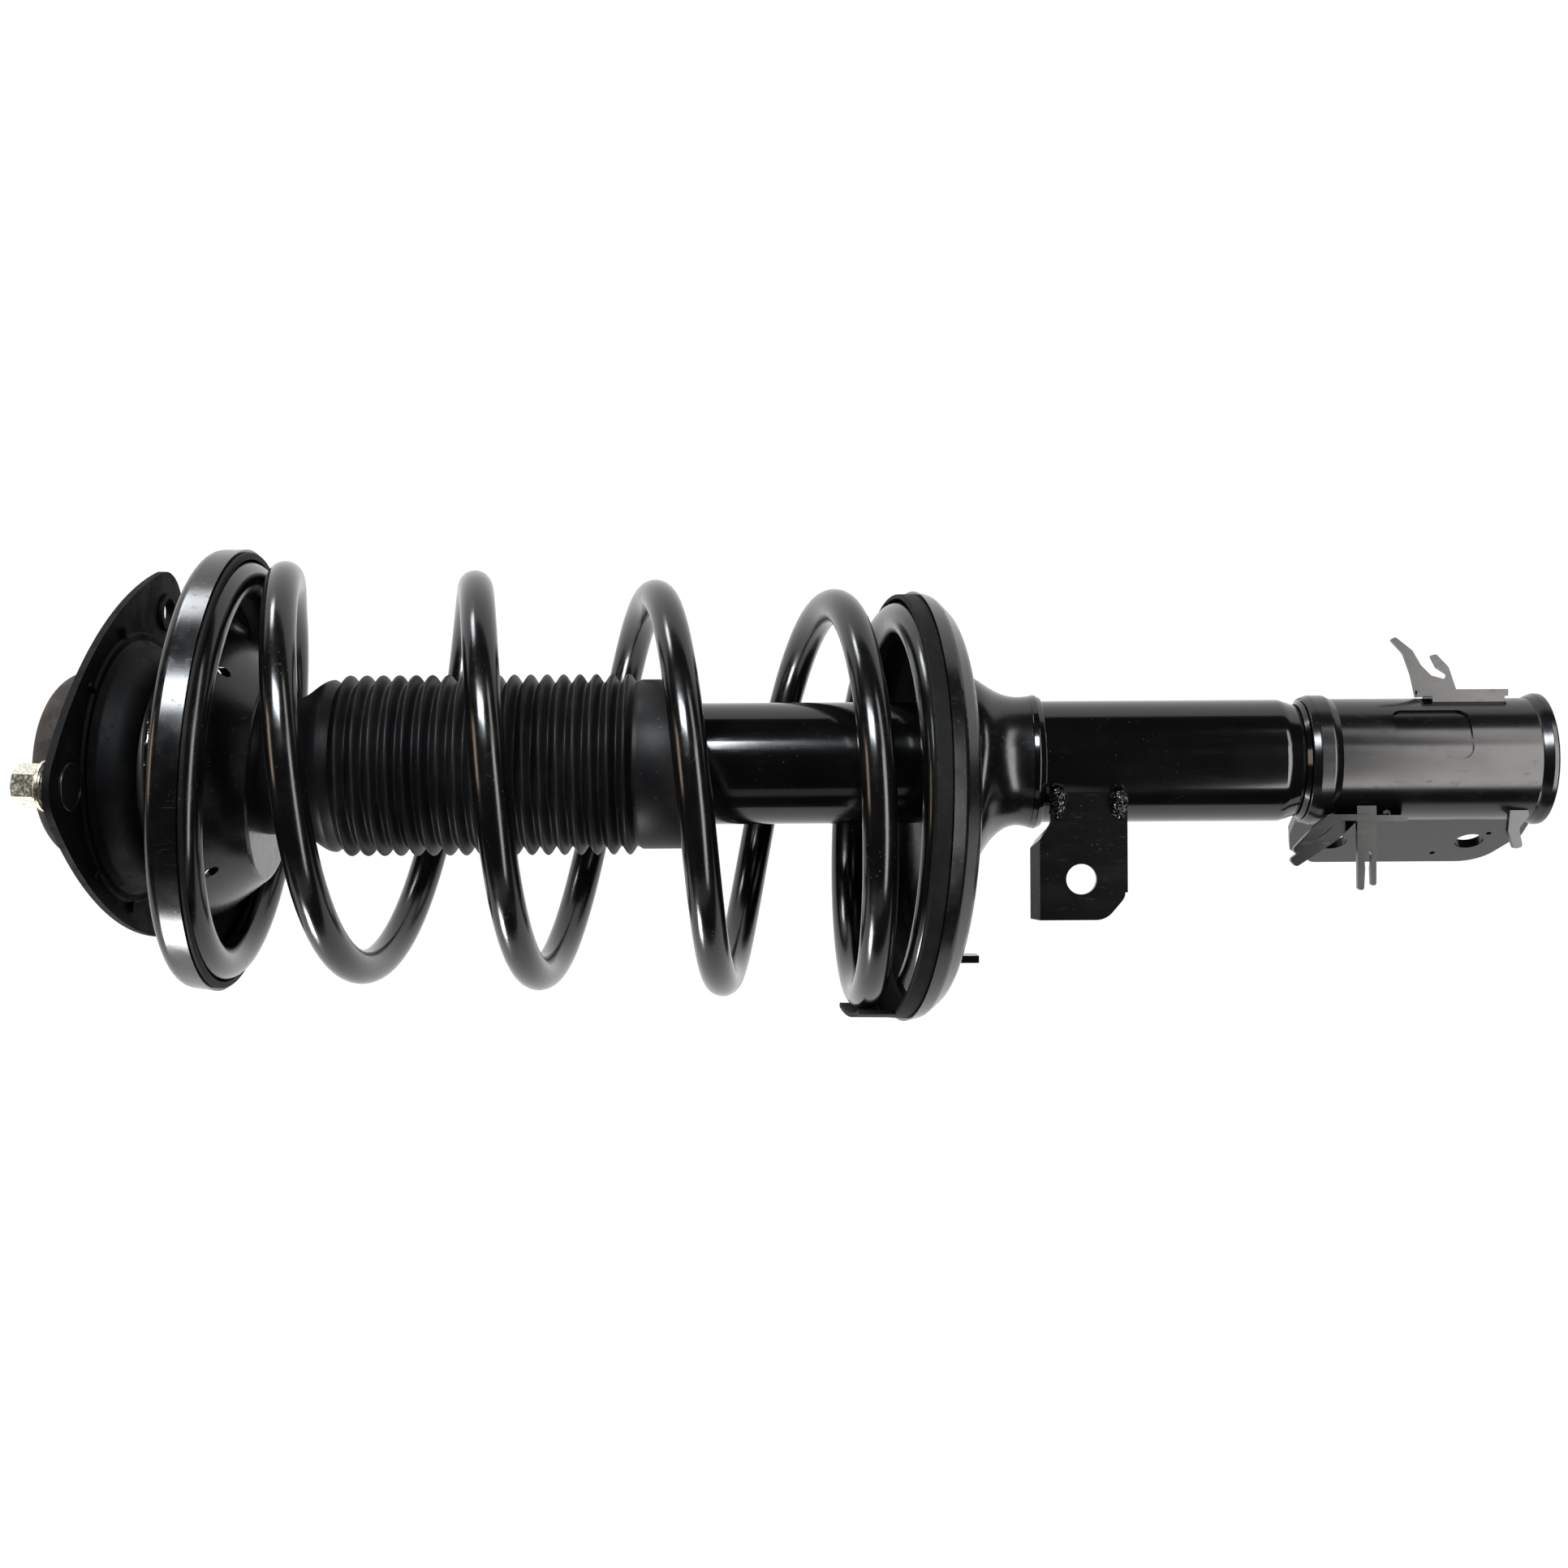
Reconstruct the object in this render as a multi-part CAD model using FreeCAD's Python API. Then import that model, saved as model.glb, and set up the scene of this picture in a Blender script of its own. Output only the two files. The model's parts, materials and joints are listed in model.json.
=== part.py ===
"""Front suspension strut assembly, in millimetres, written as one STEP file per sub-part.

The strut axis is Z with the top mount up. The origin is on that axis, at the upper face of the
top mount's plate, which leans by MOUNT_SLOPE. Heights in this script are taken from a level
LIFT above that, and every finished node is lifted by LIFT. +Y points from the side that carries
the stud towards the far side, and the knuckle bracket's ears point along EAR_ANGLE.
"""
import FreeCAD, Part
import math
import os

V = FreeCAD.Vector
UP = V(0, 0, 1)

# Driving dimensions
TUBE_R = 25.5            # outer radius of the strut tube, a 51 mm tube
TUBE_WALL = 2.5
TUBE_TOP = -232.0
TUBE_NECK_TOP = -489.0   # the tube is drawn down to the bracket's inside from here
TUBE_NECK_END = -498.0
TUBE_BOTTOM = -594.0
ROD_R = 10.0
ROD_THREAD_R = 7.0
ROD_SHOULDER = -22.0
ROD_TOP = 15.0
SLEEVE_R = 13.0
SLEEVE_TOP = 0.0
RUN = 0.05               # radial running clearance of every sliding fit

LIFT = 8.3
MOUNT_CENTRE = V(0, 0, -LIFT)
MOUNT_SLOPE = (-0.038, -0.100)     # rise of the top mount's plate along X and Y
PLATE_T = 3.0            # top mount plate
STEP_T = 1.2
STUD_AT = 66.5           # stud and hole centres from the axis
HOLE_AT = 71.0
CORNER_R = 17.5
STUD_ANGLE = -97.0       # the stud's corner, then the two open holes, in degrees from +X
HOLE_ANGLES = (19.0, 143.0)
HOLE_R = 6.0
STUD_R = 5.0
STUD_TIP = 19.0
STUD_HEAD_R = 9.5
STUD_HEAD_T = 1.2
STUD_COLLAR_T = 5.5
STUD_NUT_ACROSS = 15.0
ROD_NUT_ACROSS = 21.0
WASHER_R = 14.5
WASHER_T = 2.5
ROD_NUT_T = 10.0
HAT_R = 42.0
HAT_HEIGHT = 30.0
CUP_R = 51.0
CUP_BOTTOM = -19.0
CUP_HOLE_R = 42.0

WIRE_R = 7.15            # coil spring
COIL_R = 80.9
UPPER_CENTRE = V(-1.6, 0, -52.6)
UPPER_SLOPE = (-0.073, 0.018)      # rise of the upper seat's lip plane along X and Y
LOWER_CENTRE = V(-18.5, 25.0, -333.6)
LOWER_SLOPE = (-0.030, 0.160)
SEAT_LIP_R = 92.5
SEAT_T = 2.5
UPPER_FLOOR = 11.0       # depth of the upper dish's inside
UPPER_CONE = 15.0        # how far its cone stands out below the lip
LOWER_DEPTH = 14.0       # depth of the lower dish's outside
NECK_END = -384.2
# Wire centre line. Each row is the turn, counted from the +X side towards the stud side, then the
# coil's centre X and Y there, the slopes of its turn along X and Y, and the centre's depth: a dead
# coil in the upper seat, the active coils, then the end coil in the lower seat.
WIRE = ((-1.03, -1.6, 0.0, -0.073, 0.018, 52.1), (-0.75, -1.6, 0.0, -0.073, 0.018, 52.2),
        (-0.45, -1.6, 0.0, -0.073, 0.018, 52.9), (-0.22, -1.6, 0.0, -0.070, 0.012, 55.0),
        (-0.10, -1.8, 0.0, -0.064, 0.006, 60.0), (0.0, -2.0, 0.0, -0.058, 0.000, 68.9),
        (0.25, -2.9, 1.5, -0.053, 0.008, 91.0), (1.0, -5.7, 6.1, -0.058, 0.032, 146.9),
        (2.0, -9.4, 12.3, -0.064, 0.064, 221.5), (3.0, -13.2, 18.4, -0.062, 0.100, 297.5),
        (3.25, -15.2, 20.4, -0.050, 0.115, 310.2), (3.5, -17.8, 22.6, -0.036, 0.135, 318.0),
        (3.8, -18.3, 23.8, -0.030, 0.155, 325.6), (4.0, -18.4, 24.3, -0.030, 0.160, 329.0),
        (4.43, -18.4, 24.7, -0.030, 0.160, 331.9))

BALL_R = 2.5             # thrust bearing
BALL_PITCH = 34.0
BALL_Z = -26.0
BALL_COUNT = 24
RACE_GAP = 1.2           # from the ball centres to each race's face
BUMP_TOP = -32.0
BUMP_LENGTH = 74.0
BOOT_TOP = -62.0
BOOT_BOTTOM = -246.0
BOOT_NECK_R = 28.6

SHEET = 3.2              # knuckle bracket
BRACKET_R = 25.6
BRACKET_TOP = -498.5
BRACKET_BOTTOM = -598.5
EAR_ANGLE = 120.0
RECESS_TURN = -4.0       # the recess sits a little off the spine
EAR_HALF = 19.0          # half the width over both ears
EAR_REACH = 56.0
BOLT_R = 6.1
BOLT_AT = 37.4
BOLT_Z = (-518.5, -577.5)
PILOT_R = 1.2
PILOT_HOLES = ((48.0, -564.5), (30.5, -584.0))   # reach and height, in the near ear

LINK_HOLE_R = 6.25       # stabilizer link bracket
LINK_HOLE = (-48.5, -403.7)
LINK_T = 3.0
LINK_Y = -22.0           # the link plate's outer face
LINK_WELD_R = 3.3

NODES = {}


# Helpers

def save(name, shape):
    """Keep a finished shape, lifted to the part's origin, under its node name."""
    lifted = shape.copy()
    lifted.translate(V(0, 0, LIFT))
    NODES[name] = lifted


def polar(radius, degrees, z=0.0):
    """Point at a radius and angle from +X."""
    a = math.radians(degrees)
    return V(radius * math.cos(a), radius * math.sin(a), z)


def rounded(corners):
    """Closed face of (point, radius) corners, each corner rounded by an arc."""
    edges, ends = [], []
    count = len(corners)
    for i in range(count):
        p, r = corners[i]
        u = (corners[i - 1][0] - p).normalize()
        w = (corners[(i + 1) % count][0] - p).normalize()
        if r == 0:
            ends.append((p, None, p))
            continue
        half = u.getAngle(w) / 2
        centre = p + (u + w).normalize() * (r / math.sin(half))
        middle = centre + (p - centre).normalize() * r
        ends.append((p + u * (r / math.tan(half)), middle, p + w * (r / math.tan(half))))
    for i in range(count):
        start, middle, end = ends[i]
        if middle is not None:
            edges.append(Part.Arc(start, middle, end).toShape())
        following = ends[(i + 1) % count][0]
        if end.distanceToPoint(following) > 1e-6:
            edges.append(Part.LineSegment(end, following).toShape())
    return Part.Face(Part.Wire(edges))


def turned(profile):
    """Solid of revolution about Z of (radius, height[, corner radius]) points."""
    corners = [(V(p[0], 0, p[1]), p[2] if len(p) > 2 else 0) for p in profile]
    return rounded(corners).revolve(V(0, 0, 0), UP, 360)


def ring(outer, inner, low, high):
    """Plain ring or, with inner 0, a plain disc about Z."""
    solid = Part.makeCylinder(outer, high - low, V(0, 0, low))
    if inner > 0:
        solid = solid.cut(Part.makeCylinder(inner, high - low, V(0, 0, low)))
    return solid


def hexagon(across, low, high, bore):
    """Hexagon nut about Z with chamfered ends."""
    points = [polar(across / math.sqrt(3), 60 * i, low) for i in range(7)]
    nut = Part.Face(Part.makePolygon(points)).extrude(V(0, 0, high - low))
    r = across / math.sqrt(3)
    inner = across / 2 - 0.3
    drop = (r - inner) * 0.55
    blank = turned([(0, low), (inner, low), (r, low + drop), (r, high - drop), (inner, high), (0, high)])
    return nut.common(blank).cut(ring(bore, 0, low, high))


def side_plate(outline, y, thickness):
    """Plate in the X-Z plane from (x, z, corner radius) points, growing along +Y from y."""
    corners = [(V(x, y, z), r) for x, z, r in outline]
    return rounded(corners).extrude(V(0, thickness, 0))


def placed(shape, centre, slope):
    """Move a shape built about Z onto a tilted seat plane."""
    normal = V(-slope[0], -slope[1], 1)
    moved = shape.copy()
    moved.Placement = FreeCAD.Placement(centre, FreeCAD.Rotation(UP, normal)).multiply(shape.Placement)
    return moved


def circle_at(x, y, z, radius, slope):
    """Circle wire about a tilted axis, for the lofts of the lower seat."""
    normal = V(-slope[0], -slope[1], 1)
    return Part.Wire(Part.makeCircle(radius, V(x, y, z), normal))


def on_mount(shape):
    """Move a shape built about Z, with the plate's upper face at 0, onto the leaning mount."""
    return placed(shape, MOUNT_CENTRE, MOUNT_SLOPE)


def on_stud(shape):
    """Move a shape built about Z to the plate's stud corner."""
    moved = shape.copy()
    moved.translate(polar(STUD_AT, STUD_ANGLE))
    return on_mount(moved)


def turn_to_ears(shape):
    """Rotate a shape built along +X to the direction of the ears."""
    moved = shape.copy()
    moved.rotate(V(0, 0, 0), UP, EAR_ANGLE)
    return moved


# Top mount: the body that bolts to the car

def plate_outline():
    """Rounded triangle with bulging sides, as a face at height 0."""
    side_r = 170.0
    corners = [polar(STUD_AT, STUD_ANGLE)] + [polar(HOLE_AT, a) for a in HOLE_ANGLES]
    edges, starts, ends = [], [], []
    for i, corner in enumerate(corners):
        beyond = corners[(i + 1) % 3]
        middle = (corner + beyond) * 0.5
        chord = beyond - corner
        outward = V(chord.y, -chord.x, 0).normalize()
        sink = math.sqrt((side_r - CORNER_R) ** 2 - (corner.distanceToPoint(beyond) / 2) ** 2)
        centre = middle - outward * sink
        starts.append(centre + (corner - centre).normalize() * side_r)
        ends.append(centre + (beyond - centre).normalize() * side_r)
        edges.append(Part.Arc(starts[i], centre + outward * side_r, ends[i]).toShape())
    for i, corner in enumerate(corners):
        tip = corner + V(corner).normalize() * CORNER_R
        edges.append(Part.Arc(ends[i - 1], tip, starts[i]).toShape())
    return Part.Face(Part.Wire(Part.__sortEdges__(edges)))


def mount_plate():
    """Plate with a round step and small ribs under it, two flanged holes and a hole for the stud."""
    plate = plate_outline().extrude(V(0, 0, -PLATE_T))
    step = turned([(30, -PLATE_T), (CUP_R + 6, -PLATE_T), (CUP_R + 5, -PLATE_T - STEP_T, 0.5),
                   (30, -PLATE_T - STEP_T)])
    plate = plate.fuse(step)
    corners = (STUD_ANGLE, *HOLE_ANGLES, STUD_ANGLE + 360)
    for one, following in zip(corners, corners[1:]):
        for turn in (-19.0, 19.0):
            rib = Part.makeBox(7.0, 1.8, STEP_T, V(CUP_R + 3, -0.9, -PLATE_T - STEP_T))
            rib.rotate(V(0, 0, 0), UP, (one + following) / 2 + turn)
            plate = plate.fuse(rib)
    plate = plate.cut(ring(HAT_R - SEAT_T, 0, -PLATE_T - 4, 1))
    for angle in HOLE_ANGLES:
        collar = ring(HOLE_R + 2.2, 0, -PLATE_T - 1.4, 0)
        hole = ring(HOLE_R, 0, -PLATE_T - 3, 1)
        collar.translate(polar(HOLE_AT, angle))
        hole.translate(polar(HOLE_AT, angle))
        plate = plate.fuse(collar).cut(hole)
    stud_hole = ring(STUD_R, 0, -PLATE_T - 1, 1)
    stud_hole.translate(polar(STUD_AT, STUD_ANGLE))
    return on_mount(plate.cut(stud_hole).removeSplitter())


def mount_hat():
    shoulder = 14.0
    outer = turned([(0, 0), (HAT_R, 0), (HAT_R - 3, HAT_HEIGHT, shoulder), (0, HAT_HEIGHT)])
    inner = turned([(0, 0), (HAT_R - SEAT_T, 0),
                    (HAT_R - 3 - SEAT_T, HAT_HEIGHT - SEAT_T, shoulder - SEAT_T), (0, HAT_HEIGHT - SEAT_T)])
    return on_mount(outer.cut(inner).cut(ring(16, 0, 0, HAT_HEIGHT + 1)))


def mount_cup():
    """Pressed bell under the plate that covers the bearing."""
    top, t = -PLATE_T - STEP_T, SEAT_T
    low, lean, shoulder = CUP_BOTTOM, 5.0, 9.0
    outer = turned([(0, top), (CUP_R + 2.5, top), (CUP_R, top - 2.5, 2), (CUP_R - lean, low, shoulder),
                    (0, low)])
    inner = turned([(0, top), (CUP_R - t, top), (CUP_R - lean - t, low + t, shoulder - t), (0, low + t)])
    return on_mount(outer.cut(inner).cut(ring(CUP_HOLE_R, 0, CUP_BOTTOM - 1, 0)))


def mount_rubber():
    """Rubber between the hat and the inner sleeve, which stays in line with the rod."""
    body = turned([(0, -9), (24, -9, 3), (26, -5), (39.2, -2.5), (38.2, 8, 4), (22, 18, 3), (0, 18)])
    nut_room = ring(20, 0, SLEEVE_TOP - 1.0, 60)
    return on_mount(body).cut(ring(SLEEVE_R, 0, -60, 60)).cut(nut_room)


def stud():
    """Pressed stud: a low dished head under the plate and a chamfered tip."""
    face, rim = -PLATE_T - STUD_HEAD_T, 1.2
    body = turned([(0, face + 0.4), (STUD_HEAD_R - rim, face + 0.4), (STUD_HEAD_R - rim, face),
                   (STUD_HEAD_R, face, 0.5), (STUD_HEAD_R, -PLATE_T), (STUD_R, -PLATE_T),
                   (STUD_R, STUD_TIP - 1), (STUD_R - 1, STUD_TIP), (0, STUD_TIP)])
    return on_stud(body)


def stud_collar():
    top = STUD_COLLAR_T
    return on_stud(turned([(STUD_R, 0), (8.5, 0), (7.8, top, 0.6), (STUD_R, top)]))


def stud_nut():
    """Flange nut on the stud's collar."""
    low = STUD_COLLAR_T
    flange = turned([(STUD_R, low), (10, low, 0.5), (10, low + 1.6, 0.5), (8, low + 2.7),
                     (STUD_R, low + 2.7)])
    nut = hexagon(STUD_NUT_ACROSS, low + 2.3, STUD_TIP - 1.5, STUD_R).fuse(flange)
    return on_stud(nut.removeSplitter())


def piston_rod():
    return turned([(0, -288), (5, -288), (5, -262), (ROD_R, -262), (ROD_R, ROD_SHOULDER - 1.5),
                   (ROD_R - 1.5, ROD_SHOULDER), (ROD_THREAD_R, ROD_SHOULDER), (ROD_THREAD_R, ROD_TOP - 1.5),
                   (ROD_THREAD_R - 1.5, ROD_TOP), (0, ROD_TOP)])


def piston():
    groove = ring(16, 14.2, -272.5, -269.5)
    body = ring(15.5 - RUN, 5, -279, -263)
    nut = hexagon(15, -285, -279, 5)
    return body.cut(groove).fuse(nut)


def piston_band():
    return ring(15.5 - RUN, 14.2, -272.5, -269.5)


def rebound_stop():
    return turned([(ROD_R, -262), (14.5, -262, 1), (14.5, -254.5, 1.5), (ROD_R, -254.5)])


def bump_stop():
    """Foam bump stop round the rod, with three waists."""
    waists = 3
    points = [(ROD_R + 0.2, BUMP_TOP), (22, BUMP_TOP, 2)]
    for i in range(waists):
        middle = BUMP_TOP - BUMP_LENGTH * (i + 1) / (waists + 1)
        points += [(22 - i, middle + 6, 3), (17.5 - i, middle, 2.5), (21.5 - i, middle - 6, 3)]
    bottom = BUMP_TOP - BUMP_LENGTH
    points += [(18, bottom + 4, 3), (14, bottom, 1.5), (ROD_R + 0.2, bottom)]
    return turned(points)


def bump_cup():
    """Steel cup that holds the bump stop's top under the mount sleeve."""
    return turned([(ROD_R, ROD_SHOULDER - 1.5), (23.8, ROD_SHOULDER - 1.5, 2), (24.3, BUMP_TOP - 8),
                   (22.8, BUMP_TOP - 8), (22.3, BUMP_TOP), (ROD_R, BUMP_TOP)])


# Thrust bearing and everything that turns with the spring

def race_groove():
    return Part.makeTorus(BALL_PITCH, BALL_R + RUN, V(0, 0, BALL_Z))


def bearing_upper_race():
    """Ring that is level over the balls and leans with the mount above."""
    low = BALL_Z + RACE_GAP
    body = turned([(28, -10), (44, -10), (44, -17.5, 1), (40, -21), (40, low, 1), (28, low, 1)])
    above = on_mount(ring(200, 0, -9.2, 60))
    return body.cut(race_groove()).cut(above)


def bearing_lower_race():
    """Collar that is level under the balls and stands on the floor of the upper seat's cone."""
    high = BALL_Z - RACE_GAP
    body = turned([(30, high, 1), (39, high, 1), (39, -90), (30, -90)])
    below = placed(ring(200, 0, -60, SEAT_T - UPPER_CONE), UPPER_CENTRE, UPPER_SLOPE)
    return body.cut(race_groove()).cut(below)


def bearing_balls():
    """Ball set and the flat cage whose pockets hold the balls apart."""
    half_width, half_height, play = 3.7, 0.5, 0.15
    cage = ring(BALL_PITCH + half_width, BALL_PITCH - half_width, BALL_Z - half_height, BALL_Z + half_height)
    balls = []
    for i in range(BALL_COUNT):
        centre = polar(BALL_PITCH, 360 / BALL_COUNT * i, BALL_Z)
        pocket = ring(BALL_R + play, 0, -1, 1)
        pocket.translate(centre)
        cage = cage.cut(pocket)
        balls.append(Part.makeSphere(BALL_R, centre))
    return Part.makeCompound([cage, *balls])


def upper_spring_seat():
    """Dish that the coil sits in, with a cone inside that carries the dust boot."""
    t, floor = SEAT_T, UPPER_FLOOR
    low = -UPPER_CONE
    outer = [(20, low + t), (44, low + t, 3 + t), (67, floor + t, 6), (SEAT_LIP_R - 1, floor + t, 5),
             (SEAT_LIP_R, 0)]
    inner = [(SEAT_LIP_R - t, 0), (SEAT_LIP_R - 1 - t, floor, 5 - t), (67 + 1.2, floor, 6),
             (44 + 1.2, low, 3), (20, low)]
    dish = turned(outer + inner)
    for angle in (44.0, 134.0, 224.0, 314.0):
        hole = ring(2.2, 0, -20, 30)
        hole.translate(polar(57, angle))
        dish = dish.cut(hole)
    return placed(dish, UPPER_CENTRE, UPPER_SLOPE).cut(ring(BOOT_NECK_R, 0, -100, 0))


def upper_insulator():
    """Rubber ring between the coil and the upper seat."""
    under = WIRE_R + 0.6
    body = turned([(72, UPPER_FLOOR), (72, under), (88.6, under), (88.6, -2.0), (91.4, -2.0, 0.8),
                   (91.4, -0.3), (SEAT_LIP_R - SEAT_T - 0.1, -0.3), (89.3, UPPER_FLOOR, 2.4)])
    return placed(body, UPPER_CENTRE, UPPER_SLOPE)


def boot_profile():
    """Outer profile of the bellows, from the top down, as (radius, height) points."""
    crest, valley, pitch, first, count = 38.0, 34.8, 6.87, -100.5, 18
    points = [(BOOT_NECK_R, BOOT_TOP), (BOOT_NECK_R, -80.5, 4), (36.0, -94.5, 2)]
    for i in range(count):
        z = first - pitch * i
        points += [(crest, z + 1.7, 1.4), (crest, z - 1.7, 1.4), (valley, z - pitch / 2 + 0.4, 0.5)]
    return points + [(35.6, -222.5, 1), (35.6, BOOT_BOTTOM)]


def dust_boot():
    """Bellows with a smooth bore: its bottom end hangs free round the tube."""
    wall = 2.2
    neck = BOOT_NECK_R - wall
    bore = [(32.8, BOOT_BOTTOM), (32.8, -97.0), (neck, -81.5), (neck, BOOT_TOP)]
    return turned(bore + boot_profile())


# Coil spring

def smooth(column, x):
    """Value at x of a smooth curve through one column of WIRE that never overshoots a row."""
    knots = [(row[0], row[column]) for row in WIRE]
    slopes = [(b[1] - a[1]) / (b[0] - a[0]) for a, b in zip(knots, knots[1:])]
    inner = [2 * p * q / (p + q) if p * q > 0 else 0.0 for p, q in zip(slopes, slopes[1:])]
    rates = [slopes[0]] + inner + [slopes[-1]]
    i = max(k for k in range(len(knots) - 1) if knots[k][0] <= x + 1e-9)
    (x0, y0), (x1, y1) = knots[i], knots[i + 1]
    h = x1 - x0
    u = (x - x0) / h
    return (y0 * (1 + 2 * u) * (1 - u) ** 2 + rates[i] * h * u * (1 - u) ** 2
            + y1 * u * u * (3 - 2 * u) + rates[i + 1] * h * u * u * (u - 1))


def wire_point(turns):
    """Point of the wire's centre line."""
    centre_x, centre_y, slope_x, slope_y, depth = (smooth(column, turns) for column in range(1, 6))
    a = -2 * math.pi * turns
    x = COIL_R * math.cos(a) / math.hypot(1, slope_x)
    y = COIL_R * math.sin(a) / math.hypot(1, slope_y)
    return V(centre_x + x, centre_y + y, -depth + slope_x * x + slope_y * y)


def coil_spring():
    """The wire as a pipe along a smooth curve through points of the centre line."""
    first, last = WIRE[0][0], WIRE[-1][0]
    count = int((last - first) * 16)
    points = [wire_point(first + (last - first) * i / count) for i in range(count + 1)]
    curve = Part.BSplineCurve()
    curve.interpolate(points)
    path = Part.Wire(curve.toShape())
    start, tangent = curve.value(curve.FirstParameter), curve.tangent(curve.FirstParameter)[0]
    section = Part.Wire(Part.makeCircle(WIRE_R, start, tangent))
    return path.makePipeShell([section], True, True)


# Strut housing: the body that slides up and down on the rod

def strut_tube():
    t = TUBE_WALL
    neck_r = BRACKET_R - SHEET
    outer = [(TUBE_R, TUBE_TOP), (TUBE_R, TUBE_NECK_TOP, 6), (neck_r, TUBE_NECK_END, 6),
             (neck_r, TUBE_BOTTOM)]
    inner = [(neck_r - t, TUBE_BOTTOM), (neck_r - t, TUBE_NECK_END, 6), (TUBE_R - t, TUBE_NECK_TOP, 6),
             (TUBE_R - t, TUBE_TOP)]
    return turned(outer + inner)


def tube_cap():
    """Cap rolled over the top of the tube."""
    return turned([(TUBE_R, -238), (TUBE_R + 1.2, -238), (TUBE_R + 1.2, -229.5, 2), (ROD_R + 2, -229.5),
                   (ROD_R + 2, -230.9), (TUBE_R, -230.9), (TUBE_R, -232)])


def rod_seal():
    return ring(TUBE_R - TUBE_WALL, ROD_R + RUN, -236, -231)


def rod_guide():
    return turned([(ROD_R + RUN, -236), (TUBE_R - TUBE_WALL, -236), (TUBE_R - TUBE_WALL, -248),
                   (15.5, -248), (15.5, -254), (ROD_R + RUN, -254)])


def inner_cylinder():
    return ring(17, 15.5, -578, -248)


def base_valve():
    return turned([(0, -570), (15.5, -570), (15.5, -578), (17, -578), (17, -588), (0, -588)])


def end_cap():
    r = BRACKET_R - SHEET - TUBE_WALL
    return turned([(0, -588), (r, -588), (r, -593), (r - 4, -593), (r - 6, -591), (0, -591)])


def seat_neck(shrink):
    """Trumpet between the lower seat's floor and the tube, as a lofted solid."""
    x_rise, y_rise = LOWER_SLOPE
    floor = LOWER_CENTRE + V(x_rise, y_rise, -1).normalize() * (LOWER_DEPTH - shrink)
    wires = [circle_at(floor.x + 1.0, floor.y - 1.5, floor.z, 66 - shrink, LOWER_SLOPE),
             circle_at(-9.0, 12.5, -354.5 + shrink, 48 - shrink, (x_rise * 0.8, y_rise * 0.8)),
             circle_at(-3.0, 4.2, -363.5 + shrink * 0.5, 37 - shrink, (x_rise * 0.5, y_rise * 0.5)),
             circle_at(0, 0, -373.0, 28.6 - shrink, (0, 0)),
             circle_at(0, 0, NECK_END, 27.6 - shrink, (0, 0))]
    return Part.makeLoft(wires, True, False)


def lower_spring_seat():
    """Offset, tilted dish whose trumpet neck is welded to the tube."""
    t = SEAT_T
    outer = turned([(0, 0), (SEAT_LIP_R, 0), (SEAT_LIP_R - 1.5, -6, 4), (84, -LOWER_DEPTH, 8),
                    (0, -LOWER_DEPTH)])
    inner = turned([(0, 1), (SEAT_LIP_R - t, 1), (SEAT_LIP_R - 1.5 - t, -6, 4),
                    (84 - 1.2, t - LOWER_DEPTH, 6), (0, t - LOWER_DEPTH)])
    outer = placed(outer, LOWER_CENTRE, LOWER_SLOPE).fuse(seat_neck(0))
    inner = placed(inner, LOWER_CENTRE, LOWER_SLOPE).fuse(seat_neck(t))
    return outer.cut(inner).cut(ring(TUBE_R, 0, -400, -300))


def lower_insulator():
    """Rubber ring under the coil, with a rim that stands above the seat's lip and a tongue."""
    floor = SEAT_T - LOWER_DEPTH
    wall = SEAT_LIP_R - SEAT_T
    body = turned([(72, floor), (72, -6.5), (88.6, -6.5), (88.9, 7.5, 0.6), (91.0, 7.0, 1), (91.4, 0.3),
                   (wall - 0.1, 0.3), (wall - 1.8, -6, 4), (82.5, floor, 5)])
    half, start, rise = 14.0, 182.0, 18.5
    sector = Part.makeCylinder(91.0, rise, V(0, 0, 4), UP, 2 * half).cut(ring(89.2, 0, 0, 30))
    sector.rotate(V(0, 0, 0), UP, start - half)
    return placed(body.fuse(sector).removeSplitter(), LOWER_CENTRE, LOWER_SLOPE)


def seat_tab():
    """Small bent tab under the lower seat."""
    tab = Part.makeBox(3.0, 12.0, 14.0, V(-83.0, -17.0, -362.0))
    return tab.cut(placed(ring(SEAT_LIP_R, 0, -LOWER_DEPTH, 30), LOWER_CENTRE, LOWER_SLOPE))


def seat_weld():
    return turned([(TUBE_R, NECK_END), (27.6, NECK_END, 0.5), (28.2, NECK_END - 2.3, 1.2),
                   (27.0, NECK_END - 4.8, 0.8), (TUBE_R, NECK_END - 5.3)])


def channel_section(radius, half, reach):
    """Keyhole section: an arc round the tube that closes to two parallel ears, ears along +X."""
    start = math.sqrt(radius ** 2 - half ** 2)
    body = Part.Face(Part.Wire(Part.makeCircle(radius)))
    ears = Part.Face(Part.makePolygon([V(start - 6, -half, 0), V(reach, -half, 0), V(reach, half, 0),
                                       V(start - 6, half, 0), V(start - 6, -half, 0)]))
    return body.fuse(ears).removeSplitter()


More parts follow.
